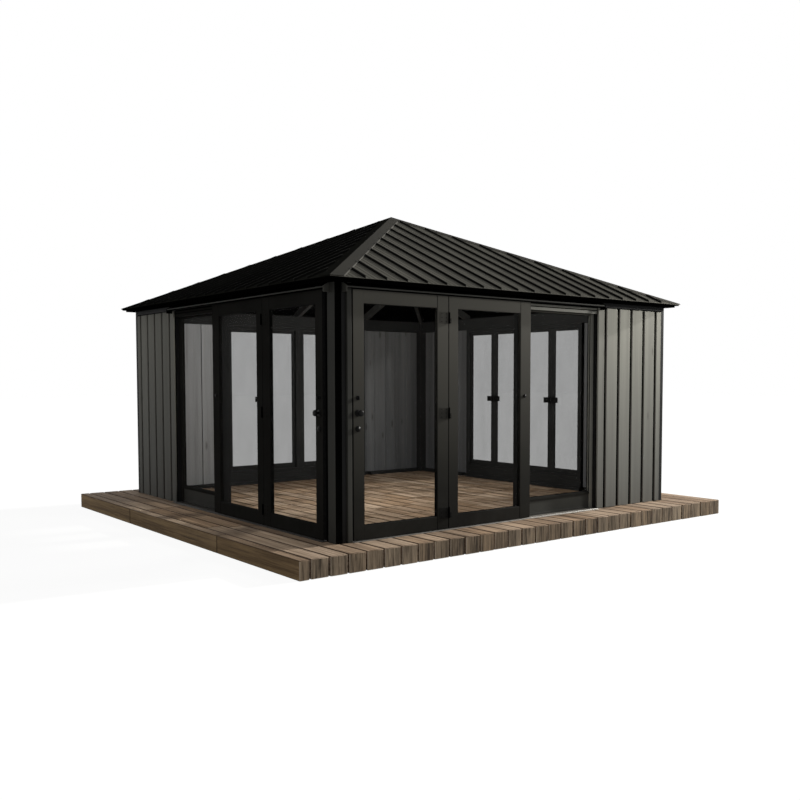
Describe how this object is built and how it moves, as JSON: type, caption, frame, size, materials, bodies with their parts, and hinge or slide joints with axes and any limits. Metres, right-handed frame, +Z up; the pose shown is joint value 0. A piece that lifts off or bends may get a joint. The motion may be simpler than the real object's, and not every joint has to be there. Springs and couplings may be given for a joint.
{
  "type": "garden office pod",
  "caption": "Square garden office pod on a timber deck, with a dark metal pyramid roof, two glazed walls with hinged doors, grey board cladding and paired windows.",
  "frame": {"origin": "on the ground, under the middle of the square room", "axes": "+X along the front wall to the right, +Y from the front wall to the back wall, +Z up"},
  "size_m": [5.273, 4.887, 3.2589],
  "materials": {
    "deck_timber": "weathered",
    "dark_frame": "satin",
    "grey_boards": "matte",
    "threshold_metal": "satin",
    "clear_glass": "polished",
    "black_hardware": "satin",
    "roof_metal": "satin"
  },
  "bodies": {
    "pod": {"deck_platform": "deck_timber", "base_rails": "dark_frame", "near_corner_post": "dark_frame", "clad_corner_posts": "dark_frame", "bay_posts": "dark_frame", "top_beams": "dark_frame", "head_bands": "dark_frame", "door_hoods": "dark_frame", "front_side_leaf": "dark_frame", "left_side_leaf": "dark_frame", "front_fixed_light": "dark_frame", "left_fixed_light": "dark_frame", "window_frames": "dark_frame", "window_sashes": "dark_frame", "window_kick_panels": "dark_frame", "eave_boxes": "dark_frame", "hip_rafters": "dark_frame", "jack_rafters": "dark_frame", "roof_hub": "dark_frame", "front_wall_panel": "grey_boards", "left_wall_panel": "grey_boards", "back_wall_panels": "grey_boards", "right_wall_panels": "grey_boards", "door_thresholds": "threshold_metal", "front_side_glass": "clear_glass", "left_side_glass": "clear_glass", "window_glass": "clear_glass", "hinge_pins": "black_hardware", "leaf_catches": "black_hardware", "window_latches": "black_hardware", "front_roof_slope": "roof_metal", "left_roof_slope": "roof_metal", "back_roof_slope": "roof_metal", "right_roof_slope": "roof_metal", "hip_caps": "roof_metal", "apex_cap": "roof_metal"},
    "front_door": {"front_door_frame": "dark_frame", "front_door_glass": "clear_glass", "front_door_handle_set": "black_hardware", "front_door_hinges": "black_hardware"},
    "left_door": {"left_door_frame": "dark_frame", "left_door_glass": "clear_glass", "left_door_handle_set": "black_hardware", "left_door_hinges": "black_hardware"}
  },
  "joints": [
    {"name": "front_door_hinge", "type": "hinge", "parent": "pod", "child": "front_door", "pos_m": [-0.945, -2.128, 0.152], "axis": [0, 0, 1], "range_deg": [0, 165]},
    {"name": "left_door_hinge", "type": "hinge", "parent": "pod", "child": "left_door", "pos_m": [-2.128, -0.945, 0.152], "axis": [0, 0, -1], "range_deg": [0, 165]}
  ]
}
